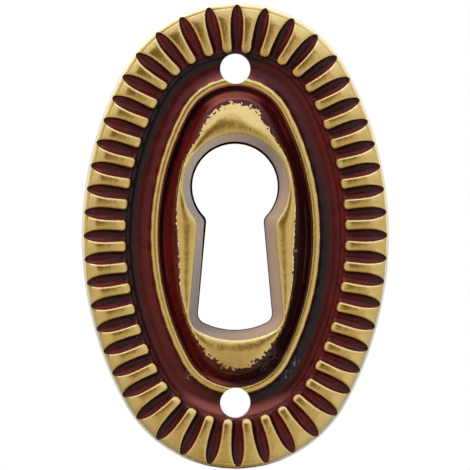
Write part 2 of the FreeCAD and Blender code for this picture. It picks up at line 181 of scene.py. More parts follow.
def keep_result(piece: bpy.types.Object, modifier: bpy.types.Modifier) -> None:
    """Turn a modifier's result into the piece's plain mesh and remove the modifier.

    Args:
        piece: The piece that has the modifier.
        modifier: Its only modifier.
    """
    graph = bpy.context.evaluated_depsgraph_get()
    result = bpy.data.meshes.new_from_object(piece.evaluated_get(graph))
    piece.modifiers.remove(modifier)
    old = piece.data
    piece.data = result
    bpy.data.meshes.remove(old)


def add_node(tree: bpy.types.NodeTree, kind: str, *values: object,
             **settings: object) -> bpy.types.Node:
    """Add a node to a tree with its settings, values and links.

    Args:
        tree: The tree to add to.
        kind: The node's type name.
        *values: What goes into the node's inputs, in order: a number, a vector, an sRGB hex
            colour, an output, or a node for its first output. None leaves an input alone.
        **settings: Properties of the node. The one called inputs holds values by input name.

    Returns:
        The new node.
    """
    node = tree.nodes.new(kind)
    named = settings.pop("inputs", {})
    for name, value in settings.items():
        setattr(node, name, value)
    pairs = list(zip([socket for socket in node.inputs if socket.enabled], values))
    pairs += [(node.inputs[name], value) for name, value in named.items()]
    for socket, value in pairs:
        if isinstance(value, bpy.types.Node):
            value = next(output for output in value.outputs if output.enabled)
        if isinstance(value, bpy.types.NodeSocket):
            tree.links.new(value, socket)
        elif isinstance(value, str) and socket.type == "RGBA":
            socket.default_value = linear(value)
        elif value is not None:
            socket.default_value = value
    return node


@dataclass(frozen=True)
class OvalFamily:
    """Four-centre ovals that share their centres, told apart by their offset."""

    half_width: float
    half_height: float
    end_radius: float

    @property
    def end_centre(self) -> float:
        """How far each end arc's centre lies above or below the origin."""
        return self.half_height - self.end_radius

    @property
    def side_radius(self) -> float:
        """Radius of the flatter arc at each side."""
        spread = self.half_width**2 + self.half_height**2
        return (spread - 2 * self.half_height * self.end_radius) / (
            2 * (self.half_width - self.end_radius))

    @property
    def side_centre(self) -> float:
        """How far each side arc's centre lies beyond the origin."""
        return self.side_radius - self.half_width

    @property
    def lean(self) -> float:
        """Direction of the outward normal where a side arc meets an end arc."""
        return math.atan2(self.end_centre, self.side_centre)

    def point(self, turn: np.ndarray, offset: np.ndarray | float) -> tuple[np.ndarray, np.ndarray]:
        """Find the point whose outward normal points a given way.

        Args:
            turn: Directions of the outward normal.
            offset: Distance outside the family's own line.

        Returns:
            The point's distances across and up.
        """
        bearing = np.mod(turn, FULL_TURN)
        upper = (bearing > self.lean) & (bearing < math.pi - self.lean)
        lower = (bearing > math.pi + self.lean) & (bearing < FULL_TURN - self.lean)
        left = (bearing >= math.pi - self.lean) & (bearing <= math.pi + self.lean)
        across = np.where(upper | lower, 0.0, np.where(left, self.side_centre, -self.side_centre))
        up = np.where(upper, self.end_centre, np.where(lower, -self.end_centre, 0.0))
        reach = np.where(upper | lower, self.end_radius, self.side_radius) + offset
        return across + reach * np.cos(turn), up + reach * np.sin(turn)

    def locate(self, across: np.ndarray, up: np.ndarray) -> tuple[np.ndarray, np.ndarray]:
        """Find a point's place in the family.

        Args:
            across: The point's distance across.
            up: The point's distance up.

        Returns:
            The direction of the normal through the point, and its offset.
        """
        x, z = np.abs(across), np.abs(up)
        by_side = np.arctan2(z, x + self.side_centre)
        on_side = by_side < self.lean
        turn = np.where(on_side, by_side, np.arctan2(z - self.end_centre, x))
        offset = np.where(
            on_side,
            np.hypot(x + self.side_centre, z) - self.side_radius,
            np.hypot(x, z - self.end_centre) - self.end_radius,
        )
        turn = np.where(across < 0, math.pi - turn, turn)
        turn = np.where(up < 0, -turn, turn)
        return np.mod(turn, FULL_TURN), offset

    def _knots(self, offset: float) -> tuple[np.ndarray, np.ndarray]:
        """Find where the arcs meet.

        Args:
            offset: The oval's offset.

        Returns:
            The normals' directions there, and the length along the oval up to each.
        """
        lean = self.lean
        turns = np.array([0.0, lean, math.pi - lean, math.pi + lean, FULL_TURN - lean, FULL_TURN])
        radii = np.array([self.side_radius, self.end_radius] * 2 + [self.side_radius])
        lengths = np.cumsum(np.diff(turns) * (radii + offset))
        return turns, np.concatenate([[0.0], lengths])

    def perimeter(self, offset: float) -> float:
        """Length of the whole oval at an offset."""
        return float(self._knots(offset)[1][-1])

    def length_at(self, turn: np.ndarray, offset: float) -> np.ndarray:
        """Measure along the oval.

        Args:
            turn: Directions of the normal, of any number of rounds.
            offset: The oval's offset.

        Returns:
            The length up to each direction.
        """
        turns, lengths = self._knots(offset)
        rounds = np.floor(turn / FULL_TURN)
        return rounds * lengths[-1] + np.interp(turn - rounds * FULL_TURN, turns, lengths)

    def turn_at(self, length: np.ndarray, offset: float) -> np.ndarray:
        """Find the normals at lengths along the oval.

        Args:
            length: Lengths along the oval, of any number of rounds.
            offset: The oval's offset.

        Returns:
            The direction of the normal at each length.
        """
        turns, lengths = self._knots(offset)
        rounds = np.floor(length / lengths[-1])
        return rounds * FULL_TURN + np.interp(length - rounds * lengths[-1], lengths, turns)


@dataclass(frozen=True)
class Keyhole:
    """The keyhole's clear opening: a round head over a slot that widens downwards."""

    head_radius: float = 4.17
    head_rise: float = 4.8
    slot_width: float = 5.84
    flare: float = math.radians(5.2)
    bottom_drop: float = 9.2
    bottom_radius: float = 7.0
    corner_radius: float = 1.0
    draft: float = math.radians(13.0)
    neck_blend: float = 0.35
    eye_rise: float = 0.8
    farthest: float = 16.0
    halvings: int = 44

    def distance(self, across: np.ndarray, up: np.ndarray) -> np.ndarray:
        """Measure how far points lie outside the clear opening.

        Args:
            across: Distances across.
            up: Distances up.

        Returns:
            The distances, below zero inside the opening.
        """
        x = np.abs(across)
        head = np.hypot(x, up - self.head_rise) - self.head_radius
        out_x, out_z = math.cos(self.flare), math.sin(self.flare)
        side = self.slot_width / 2 * out_x
        sink = self.bottom_drop - self.bottom_radius
        inner = side - self.corner_radius
        foot = self.bottom_radius - self.corner_radius
        run = sink * out_x + math.sqrt(foot**2 - (inner + sink * out_z) ** 2)
        centre_x = inner * out_x + run * out_z
        centre_z = inner * out_z - run * out_x
        toe = math.atan2(centre_z + sink, centre_x)
        by_line = x * out_x + up * out_z - side
        by_corner = np.hypot(x - centre_x, up - centre_z) - self.corner_radius
        by_foot = np.hypot(x, up + sink) - self.bottom_radius
        beyond = (x - centre_x) * out_z - (up - centre_z) * out_x > 0
        slot = np.where(beyond, by_corner, by_line)
        slot = np.where((np.arctan2(up + sink, x) < toe) & (up < -sink), by_foot, slot)
        slot = np.maximum(slot, up - self.head_rise)
        return smooth_least(head, slot, self.neck_blend)

    def outline(self, sight: np.ndarray, grown: float) -> tuple[np.ndarray, np.ndarray]:
        """Find the outline as it is seen from the eye point, from which all of it is in sight.

        Args:
            sight: Directions from the eye point, in radians.
            grown: Distance of the outline outside the clear opening.

        Returns:
            The outline's distances across and up in each direction.
        """
        near, far = np.zeros_like(sight), np.full_like(sight, self.farthest)
        for _ in range(self.halvings):
            middle = (near + far) / 2
            inside = self.distance(*self.seen(sight, middle)) < grown
            near, far = np.where(inside, middle, near), np.where(inside, far, middle)
        return self.seen(sight, (near + far) / 2)

    def seen(self, sight: np.ndarray, reach: np.ndarray) -> tuple[np.ndarray, np.ndarray]:
        """Find the points at given directions and distances from the eye point."""
        return reach * np.cos(sight), self.eye_rise + reach * np.sin(sight)


@dataclass(frozen=True)
class FluteRow:
    """A row of flutes round one arc, in degrees, a little off the true axes as it was cast."""

    middle: float
    count: int
    step: float

    def turns(self) -> list[float]:
        """Directions of the row's flutes, in radians."""
        first = self.middle - (self.count - 1) / 2 * self.step
        return [math.radians(first + place * self.step) for place in range(self.count)]


@dataclass(frozen=True)
class Border:
    """The domed border and its flutes, measured inwards from the outline."""

    wall_height: float = 2.0
    crease_inset: float = 1.38
    crease_drift: float = 0.34
    crease_drift_way: float = math.radians(105)
    crown_height: float = 2.75
    crown_inset: float = 2.4
    crown_drift: float = 1.0
    crown_drift_power: float = 1.4
    crown_radius: float = 10.5
    crease_blend: float = 0.15
    edge_rounding: float = 0.4
    # Width of the pale band of painted reflection along the outline, and how much it widens on the
    # lower side.
    pale_edge: float = 0.3
    pale_edge_growth: float = 1.2
    groove_inset: float = 0.57
    groove_width: float = 0.06
    groove_depth: float = 0.03
    flute_half_width: float = 0.63
    flute_middle: float = 2.15
    outer_reach: float = 1.96
    inner_reach: float = 3.4
    end_half_width: float = 0.5
    tip_half_width: float = 0.05
    flute_depth: float = 0.62
    floor_at_end: float = 1.82
    rib_rounding: float = 0.26
    rib_rounding_most: float = 0.62
    rib_edge_drop: float = 0.085
    rib_edge_start: float = 0.5
    rib_end_corner: float = 0.3
    rib_end_rounding: float = 0.75
    rib_end_drop: float = 0.2
    rows: tuple[FluteRow, ...] = (
        FluteRow(0.1, 15, 3.835), FluteRow(89.3, 9, 13.38),
        FluteRow(180.0, 15, 3.91), FluteRow(271.1, 9, 13.38))

    @property
    def tip(self) -> float:
        """Inset of the flutes' pointed outer tips."""
        return self.flute_middle - self.outer_reach

    def flute_turns(self) -> np.ndarray:
        """Directions of all the flutes, in rising order from a side flute's."""
        return np.array([turn for row in self.rows for turn in row.turns()])

    def top(self, inset: np.ndarray, turn: np.ndarray) -> np.ndarray:
        """Height of the border's surface before the flutes are cut.

        Args:
            inset: Distances inside the outline.
            turn: Directions of the outline's normal, since the crown's line drifts inwards
                towards the top and bottom and the crease drifts outwards on one side.

        Returns:
            The heights.
        """
        crown = self.crown_inset + self.crown_drift * np.abs(np.sin(turn)) ** self.crown_drift_power
        drift = self.crease_drift * np.clip(np.cos(turn - self.crease_drift_way), 0, 1)
        start = self.crease_inset - drift
        dome = self.crown_height - (inset - crown) ** 2 / (2 * self.crown_radius)
        crease = self.crown_height - (start - crown) ** 2 / (2 * self.crown_radius)
        fall = crease - (start - inset) * (crease - self.wall_height) / start
        groove = self.groove_depth * np.exp(-((inset - self.groove_inset) / self.groove_width) ** 2)
        rounded = rounding(self.edge_rounding, inset, self.edge_rounding)
        return smooth_least(fall, dome, self.crease_blend) - rounded - groove

    def half_width(self, inset: np.ndarray) -> np.ndarray:
        """Half the width of a flute.

        Args:
            inset: Distances inside the outline.

        Returns:
            The half widths, which come to a rounded point outwards and stay wide inwards.
        """
        inwards = inset > self.flute_middle
        reach = np.where(inwards, self.inner_reach, self.outer_reach)
        share = np.sqrt(np.clip(1 - ((inset - self.flute_middle) / reach) ** 2, 0, 1))
        width = self.flute_half_width * share
        width = np.where(inwards, np.maximum(width, self.end_half_width), width)
        return np.maximum(width, self.tip_half_width)

    def depth(self, inset: np.ndarray, end: np.ndarray, turn: np.ndarray) -> np.ndarray:
        """Depth of a flute's middle below the border's surface.

        Args:
            inset: Distances inside the outline.
            end: Inset of the ribs' inner ends.
            turn: Directions of the outline's normal.

        Returns:
            The depths.
        """
        share = np.clip(1 - ((inset - self.flute_middle) / self.outer_reach) ** 2, 0, 1)
        deepest = self.top(np.full_like(inset, self.flute_middle), turn) - self.flute_depth
        along = np.clip((inset - self.flute_middle) / (end - self.flute_middle), 0, 1)
        floor = deepest + (self.floor_at_end - deepest) * along
        inner = self.top(inset, turn) - floor
        return np.where(inset < self.flute_middle, self.flute_depth * np.sqrt(share), inner)

    def edge_drop(self, inset: np.ndarray, end: np.ndarray) -> np.ndarray:
        """How far a rib's rounded edge lies below its top, more so round its inner end.

        Args:
            inset: Distances inside the outline.
            end: Inset of the ribs' inner ends.

        Returns:
            The drops.
        """
        near_end = np.clip(1 - (end - inset) / self.rib_end_rounding, 0, 1)
        side = self.rib_edge_drop * ramp(inset, self.tip, self.rib_edge_start)
        return side + (self.rib_end_drop - self.rib_edge_drop) * near_end


@dataclass(frozen=True)
class Inside:
    """The forms inside the border, by their distance inwards from the thin ring's middle."""

    lip_height: float = 1.72
    channel_floor: float = 1.22
    channel_width: float = 2.44
    channel_power: float = 1.8
    channel_rows: int = 10
    ring_half: float = 0.46
    ring_gold: float = 0.4
    ring_height: float = 2.04
    ring_foot: float = 1.78
    ring_power: float = 2.4
    insets: tuple[float, ...] = (
        0.46, 0.60, 0.76, 0.92, 1.10, 1.35, 1.70, 2.05, 2.35, 2.70, 3.20, 4.00, 8.0)
    heights: tuple[float, ...] = (
        1.78, 1.58, 1.43, 1.38, 1.48, 1.80, 2.45, 3.08, 3.52, 3.86, 4.15, 4.40, 4.60)
    flank_blend: float = 0.35
    flank_inset: float = 2.45
    flank_end_shift: float = 0.35
    boss_start: float = 1.3
    boss_half_length: float = 12.0
    boss_rows: int = 34
    roll_height: float = 3.998
    roll_crest: float = 0.95
    crest_drift: float = 0.15
    foot_crest: float = 1.05
    top_crest: float = 0.4
    roll_inner_radius: float = 2.5
    roll_side_radius: float = 3.0
    roll_low_radius: float = 2.0
    roll_foot_radius: float = 2.8
    roll_top_radius: float = 1.5
    roll_steepest: float = 0.42
    flat_radius: float = 2.0
    flat_crest: float = 0.2
    flat_middle: float = -0.6
    flat_half_width: float = 1.7
    rim_rounding: float = 0.3
    rim_drop: float = 0.17
    gold_start: float = 1.9
    gold_wave: float = 0.3
    gold_drift: float = 1.0
    gold_half_wave: float = 7.7
    gold_end_half_wave: float = 3.5
    gold_slope: float = 0.8
    ragged: float = 0.13
    ragged_ends: float = 0.4

    @property
    def outer_offset(self) -> float:
        """Offset from the ring's middle to the ribs' inner ends."""
        return self.ring_half - 0.02 + self.channel_width

    @property
    def rim_height(self) -> float:
        """Height of the keyhole wall's front edge, below the lowest part of the roll's edge."""
        widest = self.roll_crest + self.crest_drift
        return self.roll_height - widest**2 / (2 * self.roll_inner_radius) - self.rim_drop

    def channel(self, offset: float) -> float:
        """Height of the channel at an offset outside the ring's middle."""
        share = (2 * offset - self.ring_half - self.outer_offset) / (
            self.outer_offset - self.ring_half)
        rise = self.lip_height - self.channel_floor
        return self.channel_floor + rise * abs(share) ** self.channel_power

    def ring(self, share: float) -> float:
        """Height across the thin ring's low round band, by the share of its half width."""
        rise = self.ring_height - self.ring_foot
        return self.ring_foot + rise * (1 - abs(share) ** self.ring_power)

    def gold_inset(self, up: np.ndarray) -> np.ndarray:
        """Find where the boss is rubbed bare, further in at its middle and its ends.

        Args:
            up: Distances up.

        Returns:
            The insets at which the bare metal starts.
        """
        place = np.abs(up + self.gold_drift)
        middle = place / self.gold_half_wave
        end = 1 + ramp(place, self.gold_half_wave, self.gold_end_half_wave)
        return self.gold_start + self.gold_wave * np.cos(math.pi * np.where(middle < 1, middle, end))

    def hollow(self, inset: np.ndarray, up: np.ndarray) -> np.ndarray:
        """Height of the hollow and the boss's flank, which follows the gold's edge.

        Args:
            inset: Distances inside the ring's middle.
            up: Distances up.

        Returns:
            The heights.
        """
        end = ramp(np.abs(up), 0, self.boss_half_length) ** 2
        start = self.flank_inset + self.flank_end_shift * end
        shift = (start - self.gold_inset(up)) * np.clip(inset - 0.9, 0, 1)
        return curve_through(np.array(self.insets), np.array(self.heights), inset + shift)

    def boss(self, inset: np.ndarray, away: np.ndarray, across: np.ndarray,
             up: np.ndarray) -> np.ndarray:
        """Height of the boss, a wide soft roll round the keyhole, flatter above its head.

        Args:
            inset: Distances inside the thin ring's middle.
            away: Distances outside the keyhole's front edge.
            across: Distances across.
            up: Distances up.

        Returns:
            The heights.
        """
        low, foot, top = ramp(-up, 1.5, 2), ramp(-up, 7, 3), ramp(up, 7, 3)
        flat = 1 / (1 + ((across - self.flat_middle) / self.flat_half_width) ** 4)
        outer = self.roll_side_radius + (self.roll_low_radius - self.roll_side_radius) * low
        outer = outer + (self.roll_foot_radius - outer) * foot
        outer = outer + (self.roll_top_radius + self.flat_radius * flat - outer) * top
        crest = self.roll_crest + self.crest_drift * np.clip(across / 4, -1, 1)
        crest = crest + (self.foot_crest - crest) * foot
        crest = crest + (self.top_crest + self.flat_crest * flat - crest) * top
        radius = np.where(away < crest, self.roll_inner_radius, outer)
        run = np.abs(away - crest)
        curved = np.minimum(run, self.roll_steepest * radius)
        roll = self.roll_height - curved**2 / (2 * radius) - self.roll_steepest * (run - curved)
        flanked = smooth_least(roll, self.hollow(inset, up), self.flank_blend)
        return flanked - rounding(self.rim_drop, away, self.rim_rounding)


@dataclass
class Rows:
    """Rows of the plate's mesh as they are laid, each a closed loop of the same length."""

    across: list[np.ndarray] = field(default_factory=list)
    up: list[np.ndarray] = field(default_factory=list)
    height: list[np.ndarray] = field(default_factory=list)
    marks: dict[str, list[np.ndarray]] = field(default_factory=dict)

    def lay(self, place: tuple[np.ndarray, np.ndarray], height: np.ndarray | float,
            **marks: np.ndarray | float) -> None:
        """Add a row.

        Args:
            place: Distances across and up.
            height: Heights above the back.
            **marks: Values that the surface's finish or the flutes are made from.
        """
        size = len(place[0])
        self.across.append(place[0])
        self.up.append(place[1])
        self.height.append(np.broadcast_to(height, (size,)).astype(float))
        for name, default in PLATE_MARKS.items():
            value = np.broadcast_to(marks.get(name, default), (size,)).astype(float)
            self.marks.setdefault(name, []).append(value)


@dataclass
class PlateBuilder:
    """Lays the whole plate as one closed mesh whose columns follow the flutes."""

    outline: OvalFamily = OvalFamily(15.0, 22.75, 12.35)
    ring: OvalFamily = OvalFamily(7.85, 15.05, 5.44)
    border: Border = Border()
    inside: Inside = Inside()
    keyhole: Keyhole = Keyhole()
    screw_pitch: float = 32.6
    screw_radius: float = 1.48
    cutter_sides: int = 64
    cutter_ends: tuple[float, float] = (-5.0, 1.0)
    trough_start: float = 1.5
    trough_end: float = 4.0
    trough_depth: float = 1.05
    sharp_angle: float = math.radians(58)

    def _end_insets(self) -> tuple[np.ndarray, np.ndarray]:
        """Find how far inside the outline the ribs end.

        Returns:
            Directions all round, and the inset in each.
        """
        places, nearest, farthest, halvings = 1441, 3.0, 7.0, 40
        turns = np.linspace(0, FULL_TURN, places)
        near, far = np.full_like(turns, nearest), np.full_like(turns, farthest)
        for _ in range(halvings):
            middle = (near + far) / 2
            offset = self.ring.locate(*self.outline.point(turns, -middle))[1]
            outside = offset > self.inside.outer_offset
            near, far = np.where(outside, middle, near), np.where(outside, far, middle)
        return turns, near

    def _columns(self, inset: np.ndarray,
                 half: np.ndarray) -> tuple[np.ndarray, np.ndarray, np.ndarray]:
        """Place the columns of one row round the border.

        Args:
            inset: How far inside the outline each pitch's columns lie.
            half: Half the flute's width for each pitch.

        Returns:
            Each column's direction, its place across the flute as a share of the half
            width, and its distance inside the rib's edge.
        """
        offset = -float(np.mean(inset))
        middles = self.outline.length_at(self.border.flute_turns(), offset)
        whole = self.outline.perimeter(offset)
        before, after = np.roll(middles, 1), np.roll(middles, -1)
        before[0] -= whole
        after[-1] += whole
        columns = []
        for side, gap in ((-1, middles - before), (1, after - middles)):
            room = gap / 2 - half
            soft = np.minimum(self.border.rib_rounding, room * self.border.rib_rounding_most)
            places = [(share * half, share) for share in COLUMN_SHARES]
            places += [(half + soft * 0.5, ON_RIB), (half + soft, ON_RIB)]
            laid = [(middles + side * away, share, away - half) for away, share in places]
            if side < 0:
                laid.append((middles - gap / 2, ON_RIB, room))
                laid.reverse()
                laid.append((middles, 0.0, -half))
            columns += laid
        lengths, shares, edges = (
            np.array([np.broadcast_to(column[part], middles.shape) for column in columns])
            for part in range(3))
        return self.outline.turn_at(lengths.T.ravel(), offset), shares.T.ravel(), edges.T.ravel()

    def _lay_border(self, rows: Rows) -> np.ndarray:
        """Lay the rows from the outline to the ribs' inner ends.

        Args:
            rows: The rows so far.

        Returns:
            The directions of the ring's normal through the last row.
        """
        border = self.border
        flutes = border.flute_turns()
        table = self._end_insets()
        for inset in BORDER_INSETS:
            level = np.full(len(flutes), inset)
            turn, share, edge = self._columns(level, border.half_width(level))
            end = np.interp(np.mod(turn, FULL_TURN), *table)
            self._lay_border_row(rows, (turn, share, edge), np.full_like(turn, inset), end)
        corner = border.rib_end_corner
        for back in RIB_END_STEPS:
            level = np.interp(np.mod(flutes, FULL_TURN), *table) - back
            widened = corner - math.sqrt(corner**2 - max(corner - back, 0) ** 2)
            turn, share, edge = self._columns(level, border.half_width(level) + widened)
            end = np.interp(np.mod(turn, FULL_TURN), *table)
            edge = np.where(edge > 0, np.minimum(edge, back), edge)
            self._lay_border_row(rows, (turn, share, edge), end - back, end)
        end_turn = self.ring.locate(rows.across[-1], rows.up[-1])[0]
        for beyond, keep in RIB_FALL_STEPS:
            columns = (turn, share, np.minimum(edge, 0.0))
            self._lay_border_row(rows, columns, end, end, keep, (end_turn, beyond))
        return end_turn

    def _lay_border_row(self, rows: Rows, columns: tuple[np.ndarray, np.ndarray, np.ndarray],
                        inset: np.ndarray, end: np.ndarray, keep: float = 1.0,
                        past: tuple[np.ndarray, float] | None = None) -> None:
        """Lay one row of the border, or of the short fall past the ribs' ends.

        Args:
            rows: The rows so far.
            columns: What _columns gives for the row.
            inset: Distances inside the outline.
            end: Inset of the ribs' inner ends.
            keep: How much of the border's form the row keeps.
            past: Directions of the ring's normal, and how far past the ends the row lies.
        """
        border, inside = self.border, self.inside
        turn, share, edge = columns
        top, lip = border.top(inset, turn), inside.lip_height
        if past is None:
            place = self.outline.point(turn, -inset)
            bare = np.where(share > 1.5, edge, -np.abs(edge)) + 0.015
        else:
            place = self.ring.point(past[0], inside.outer_offset - past[1])
            bare = np.full_like(turn, -past[1] + 0.02)
        fluted = ramp(inset, border.tip, 0.06)
        rounded = np.minimum(edge, (end - inset) * border.rib_rounding / border.rib_end_rounding)
        # Painted reflection: the pale band along the outline's edge, wider on its lower side.
        lower_side = np.clip(-np.sin(turn), 0, 1) * np.abs(np.cos(turn))
        edge_width = border.pale_edge + border.pale_edge_growth * lower_side
        rows.lay(place, lip + (top - lip) * keep, bare_mm=np.where(fluted > 0, bare, 0.3),
                 outer_mm=inset, edge_share=inset / edge_width, channel=1 - keep,
                 flute_across=share, rib_inset=np.maximum(rounded, 0),
                 flute_depth=border.depth(inset, end, turn) * keep * fluted,
                 edge_drop=border.edge_drop(inset, end) * keep)

    def _even_lengths(self, turn: np.ndarray) -> tuple[np.ndarray, np.ndarray]:
        """Spread the columns evenly along the ring.

        Args:
            turn: Directions of the ring's normal in each column.

        Returns:
            The columns' lengths along the ring as they are, and evened out.
        """
        unwound = np.unwrap(turn)
        if turn[0] >= math.pi:
            unwound = unwound - FULL_TURN
        length = self.ring.length_at(unwound, 0.0)
        whole = self.ring.perimeter(0.0)
        margin, passes, window = 16, 3, 9
        even = np.concatenate([length[-margin:] - whole, length, length[:margin] + whole])
        for _ in range(passes):
            even = np.convolve(even, np.ones(window) / window, mode="same")
        return length, even[margin:-margin]

    def _lay_inside(self, rows: Rows, turn: np.ndarray) -> None:
        """Lay the channel, the ring, the hollow and the boss up to the keyhole's edge.

        Args:
            rows: The rows so far.
            turn: Directions of the ring's normal through the last row.
        """
        inside, ring, keyhole = self.inside, self.ring, self.keyhole
        length, even = self._even_lengths(turn)
        start = inside.outer_offset - RIB_FALL_STEPS[-1][0]
        for offset in np.linspace(start, inside.ring_half, inside.channel_rows + 2)[1:-1]:
            share = min(1.0, (start - offset) / (start - inside.ring_half) * 1.25)
            place = ring.point(ring.turn_at(length + (even - length) * share, 0.0), offset)
            rows.lay(place, inside.channel(offset), bare_mm=-0.6, channel=1.0)
        even_turn = ring.turn_at(even, 0.0)
        for share in RING_SHARES:
            offset = share * inside.ring_half
            rows.lay(ring.point(even_turn, offset), inside.ring(share),
                     bare_mm=inside.ring_gold - abs(offset), ragged_mm=0.02)
        for inset in HOLLOW_INSETS:
            place = ring.point(even_turn, -inset)
            height = inside.hollow(np.full_like(even_turn, inset), place[1])
            rows.lay(place, height, bare_mm=-0.1 - inset * 0.2)
        outer = ring.point(even_turn, -inside.boss_start)
        sight = np.arctan2(outer[1] - keyhole.eye_rise, outer[0])
        inner = keyhole.outline(sight, self._rim_growth + inside.rim_rounding)
        for share in np.linspace(0, 1, inside.boss_rows):
            self._lay_boss_row(rows, *(a + (b - a) * share for a, b in zip(outer, inner)))
        self._lay_wall(rows, sight)

    @property
    def _rim_growth(self) -> float:
        """How much wider the opening is at the front than at the back."""
        return self.inside.roll_height * math.tan(self.keyhole.draft)

    def _lay_boss_row(self, rows: Rows, across: np.ndarray, up: np.ndarray) -> None:
        """Lay one row over the boss.

        Args:
            rows: The rows so far.
            across: Distances across.
            up: Distances up.
        """
        inside = self.inside
        away = np.maximum(self.keyhole.distance(across, up) - self._rim_growth, 0)
        inset = -self.ring.locate(across, up)[1]
        rows.lay((across, up), inside.boss(inset, away, across, up),
                 bare_mm=(inset - inside.gold_inset(up)) * inside.gold_slope,
                 ragged_mm=inside.ragged + inside.ragged_ends * ramp(np.abs(up), 8.5, 3.5))

    def _lay_wall(self, rows: Rows, sight: np.ndarray) -> None:
        """Lay the keyhole's rounded front edge and its sloping wall.

        Args:
            rows: The rows so far.
            sight: Directions of the columns from the keyhole's eye point.
        """
        keyhole, inside = self.keyhole, self.inside
        front, top = self._rim_growth, inside.rim_height
        facing = (np.cos(sight) - np.sin(sight)) / math.sqrt(2)
        # Painted shade: a dark line up from the wall's back edge, higher on the top and left of the
        # opening.
        marks = {"shade_line_mm": 0.66 - 0.3 * np.clip(facing * 1.6, -1, 1),
                 # Painted reflection: a pale tone on the wall round the opening's left.
                 "wall_reflection_share": np.clip(0.35 * np.sin(sight) - np.cos(sight), 0, 1)}
        for away in RIM_STEPS:
            place = keyhole.outline(sight, front + away)
            past_flank = np.full_like(sight, 9.0)
            height = inside.boss(past_flank, np.full_like(sight, away), *place)
            rows.lay(place, height, wall=float(away < 0.03), **marks)
        for height in (top, top - 0.06) + WALL_HEIGHTS:
            grown = front * height / top if height > 0 else 0.05
            rows.lay(keyhole.outline(sight, grown), height, wall=float(height > 0),
                     back=float(height == 0), **marks)

    def _lay_back(self, rows: Rows) -> None:
        """Lay the back's flat, its trough and its rim, and the side wall up to the outline.

        Args:
            rows: The rows so far, from the outline to the keyhole's back edge.
        """
        turn = self.outline.locate(rows.across[0], rows.up[0])[0]
        wall = self.border.wall_height
        depth = self.trough_depth
        profile = [(self.trough_end - step, share * depth) for step, share in TROUGH_SIDE]
        profile += [(self.trough_start + step, share * depth) for step, share in TROUGH_SIDE[::-1]]
        profile += [(0.12, 0.0), (0.035, 0.035), (0.0, 0.12), (0.0, wall * 0.4), (0.0, wall - 0.6)]
        inner = (rows.across[-1], rows.up[-1])
        outer = self.outline.point(turn, -profile[0][0])
        for share in BACK_SHARES:
            rows.lay(tuple(a + (b - a) * share for a, b in zip(outer, inner)), 0.0, back=1.0)
        for inset, height in profile:
            rows.lay(self.outline.point(turn, -inset), height, back=float(inset > 0.1))

    def build(self) -> bpy.types.Object:
        """Build the plate.

        Returns:
            The finished piece, with its flutes, screw holes and finish.
        """
        rows = Rows()
        end_turn = self._lay_border(rows)
        self._lay_inside(rows, end_turn)
        self._lay_back(rows)
        piece = self._to_object(rows)
        FluteTree(self.border).apply(piece)
        for side in (1, -1):
            self._cut_screw_hole(piece, side * self.screw_pitch / 2)
        self._mark_holes(piece.data)
        return piece

    def _to_object(self, rows: Rows) -> bpy.types.Object:
        """Turn the rows into a closed mesh.

        Args:
            rows: All the rows, the last of which meets the first.

        Returns:
            The object.
        """
        grid = np.stack([rows.across, -np.array(rows.height), rows.up], axis=2) * MM
        levels, columns = grid.shape[:2]
        first = np.arange(levels)[:, None] * columns
        second = (np.arange(levels)[:, None] + 1) % levels * columns
        here = np.arange(columns)[None, :]
        there = (here + 1) % columns
        faces = np.stack([first + here, first + there, second + there, second + here], axis=2)
        mesh = bpy.data.meshes.new("fluted_plate")
        mesh.from_pydata(grid.reshape(-1, 3).tolist(), [], faces.reshape(-1, 4).tolist())
        for name in PLATE_MARKS:
            layer = mesh.attributes.new(name, "FLOAT", "POINT")
            layer.data.foreach_set("value", np.concatenate(rows.marks[name]))
        mesh.update()
        return add_object("fluted_plate", mesh)

    def _cut_screw_hole(self, piece: bpy.types.Object, rise: float) -> None:
        """Cut a screw hole through the plate.

        Args:
            piece: The plate.
            rise: The hole's distance above the origin.
        """
        sides = self.cutter_sides
        turns = [FULL_TURN * k / sides for k in range(sides)]
        points = [(self.screw_radius * math.cos(t) * MM, y * MM,
                   (rise + self.screw_radius * math.sin(t)) * MM)
                  for y in self.cutter_ends for t in turns]
        faces = [tuple(range(sides)), tuple(range(2 * sides - 1, sides - 1, -1))]
        faces += [(k, k + sides, (k + 1) % sides + sides, (k + 1) % sides) for k in range(sides)]
        mesh = bpy.data.meshes.new("hole_cutter")
        mesh.from_pydata(points, [], faces)
        cutter = add_object("hole_cutter", mesh)
        cut = piece.modifiers.new("screw_hole", "BOOLEAN")
        cut.operation = "DIFFERENCE"
        cut.solver = "MANIFOLD"
        cut.object = cutter
        keep_result(piece, cut)
        bpy.data.objects.remove(cutter)
        bpy.data.meshes.remove(mesh)

    def _mark_holes(self, mesh: bpy.types.Mesh) -> None:
        """Mark the back ends of the holes' walls as back, and set the plate's sharp edges.

        Args:
            mesh: The plate's mesh after its holes are cut.
        """
        places = np.empty(len(mesh.vertices) * 3)
        mesh.vertices.foreach_get("co", places)
        places = places.reshape(-1, 3) / MM
        rise = np.abs(places[:, 2]) - self.screw_pitch / 2
        on_wall = np.hypot(places[:, 0], rise) < self.screw_radius + 0.01
        layer = mesh.attributes["back"].data
        marks = np.empty(len(places))
        layer.foreach_get("value", marks)
        marks[on_wall] = places[on_wall, 1] > -0.05
        layer.foreach_set("value", marks)
        mesh.polygons.foreach_set("use_smooth", np.ones(len(mesh.polygons), dtype=bool))
        mesh.set_sharp_from_angle(angle=self.sharp_angle)
        LOG.info("plate: %d vertices, %d on the holes' walls", len(places), int(on_wall.sum()))


